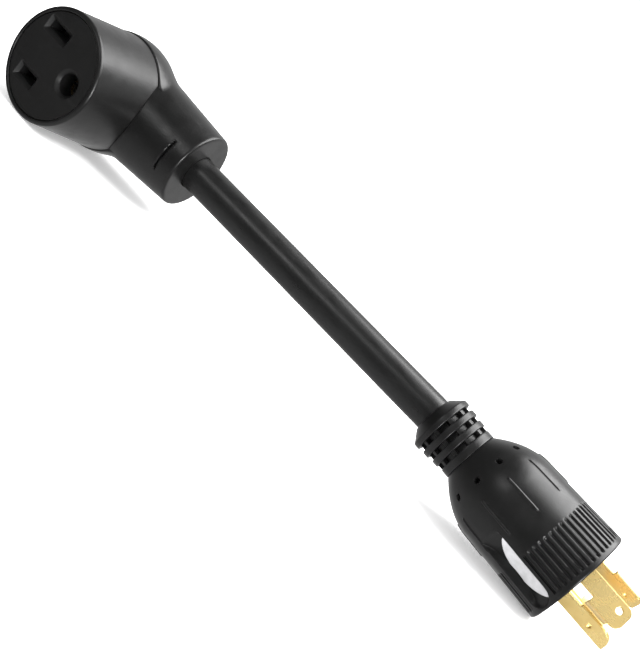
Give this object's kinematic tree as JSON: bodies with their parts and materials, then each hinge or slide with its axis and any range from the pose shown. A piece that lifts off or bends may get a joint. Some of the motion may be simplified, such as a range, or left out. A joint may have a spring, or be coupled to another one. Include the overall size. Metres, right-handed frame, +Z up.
{
  "type": "power adapter dogbone",
  "caption": "Short heavy power adapter cord: an angled socket with parallel blade slots and a round ground hole, and a straight locking plug with brass blades.",
  "frame": {"origin": "middle of the bounding box's base, on the surface the part lies on", "axes": "+X from the socket to the plug, along the cable; the socket's face looks towards -Y; +Z up"},
  "size_m": [0.3457, 0.0757, 0.0564],
  "materials": {
    "housing_vinyl": "satin moulded PVC",
    "face_vinyl": "matte moulded PVC",
    "plug_vinyl": "satin moulded PVC",
    "cable_jacket": "smooth flexible jacket with a low sheen",
    "carrier_nylon": "matte nylon",
    "blade_brass": "stamped brass, lightly polished",
    "contact_brass": "sprung brass",
    "copper": "bare stranded copper",
    "clamp_steel": "plated steel",
    "terminal_nylon": "matte nylon",
    "retainer_nylon": "natural nylon",
    "filler_fibre": "natural fibre filler",
    "wire_black": "smooth insulation",
    "wire_red": "smooth insulation",
    "inlay_grey": "satin pale grey inlay",
    "wire_green": "smooth insulation"
  },
  "bodies": {
    "root": {"socket_sleeve": "housing_vinyl", "elbow_housing": "housing_vinyl", "socket_face_insert": "face_vinyl", "contact_retainer": "retainer_nylon", "line_contact_a": "contact_brass", "line_contact_b": "contact_brass", "ground_contact": "contact_brass", "cable_clamp_ring": "clamp_steel", "cable_jacket": "cable_jacket", "cable_filler": "filler_fibre", "line_a_insulation": "wire_black", "line_b_insulation": "wire_red", "ground_insulation": "wire_green", "line_a_core": "copper", "line_b_core": "copper", "ground_core": "copper", "strain_relief_boot": "housing_vinyl", "plug_body": "plug_vinyl", "pocket_inlay_front": "inlay_grey", "pocket_inlay_back": "inlay_grey", "blade_carrier": "carrier_nylon", "terminal_block": "terminal_nylon", "hot_x_blade": "blade_brass", "hot_y_blade": "blade_brass", "neutral_blade": "blade_brass", "ground_blade": "blade_brass", "hot_x_terminal": "contact_brass", "hot_y_terminal": "contact_brass", "ground_terminal": "contact_brass"}
  },
  "joints": []
}
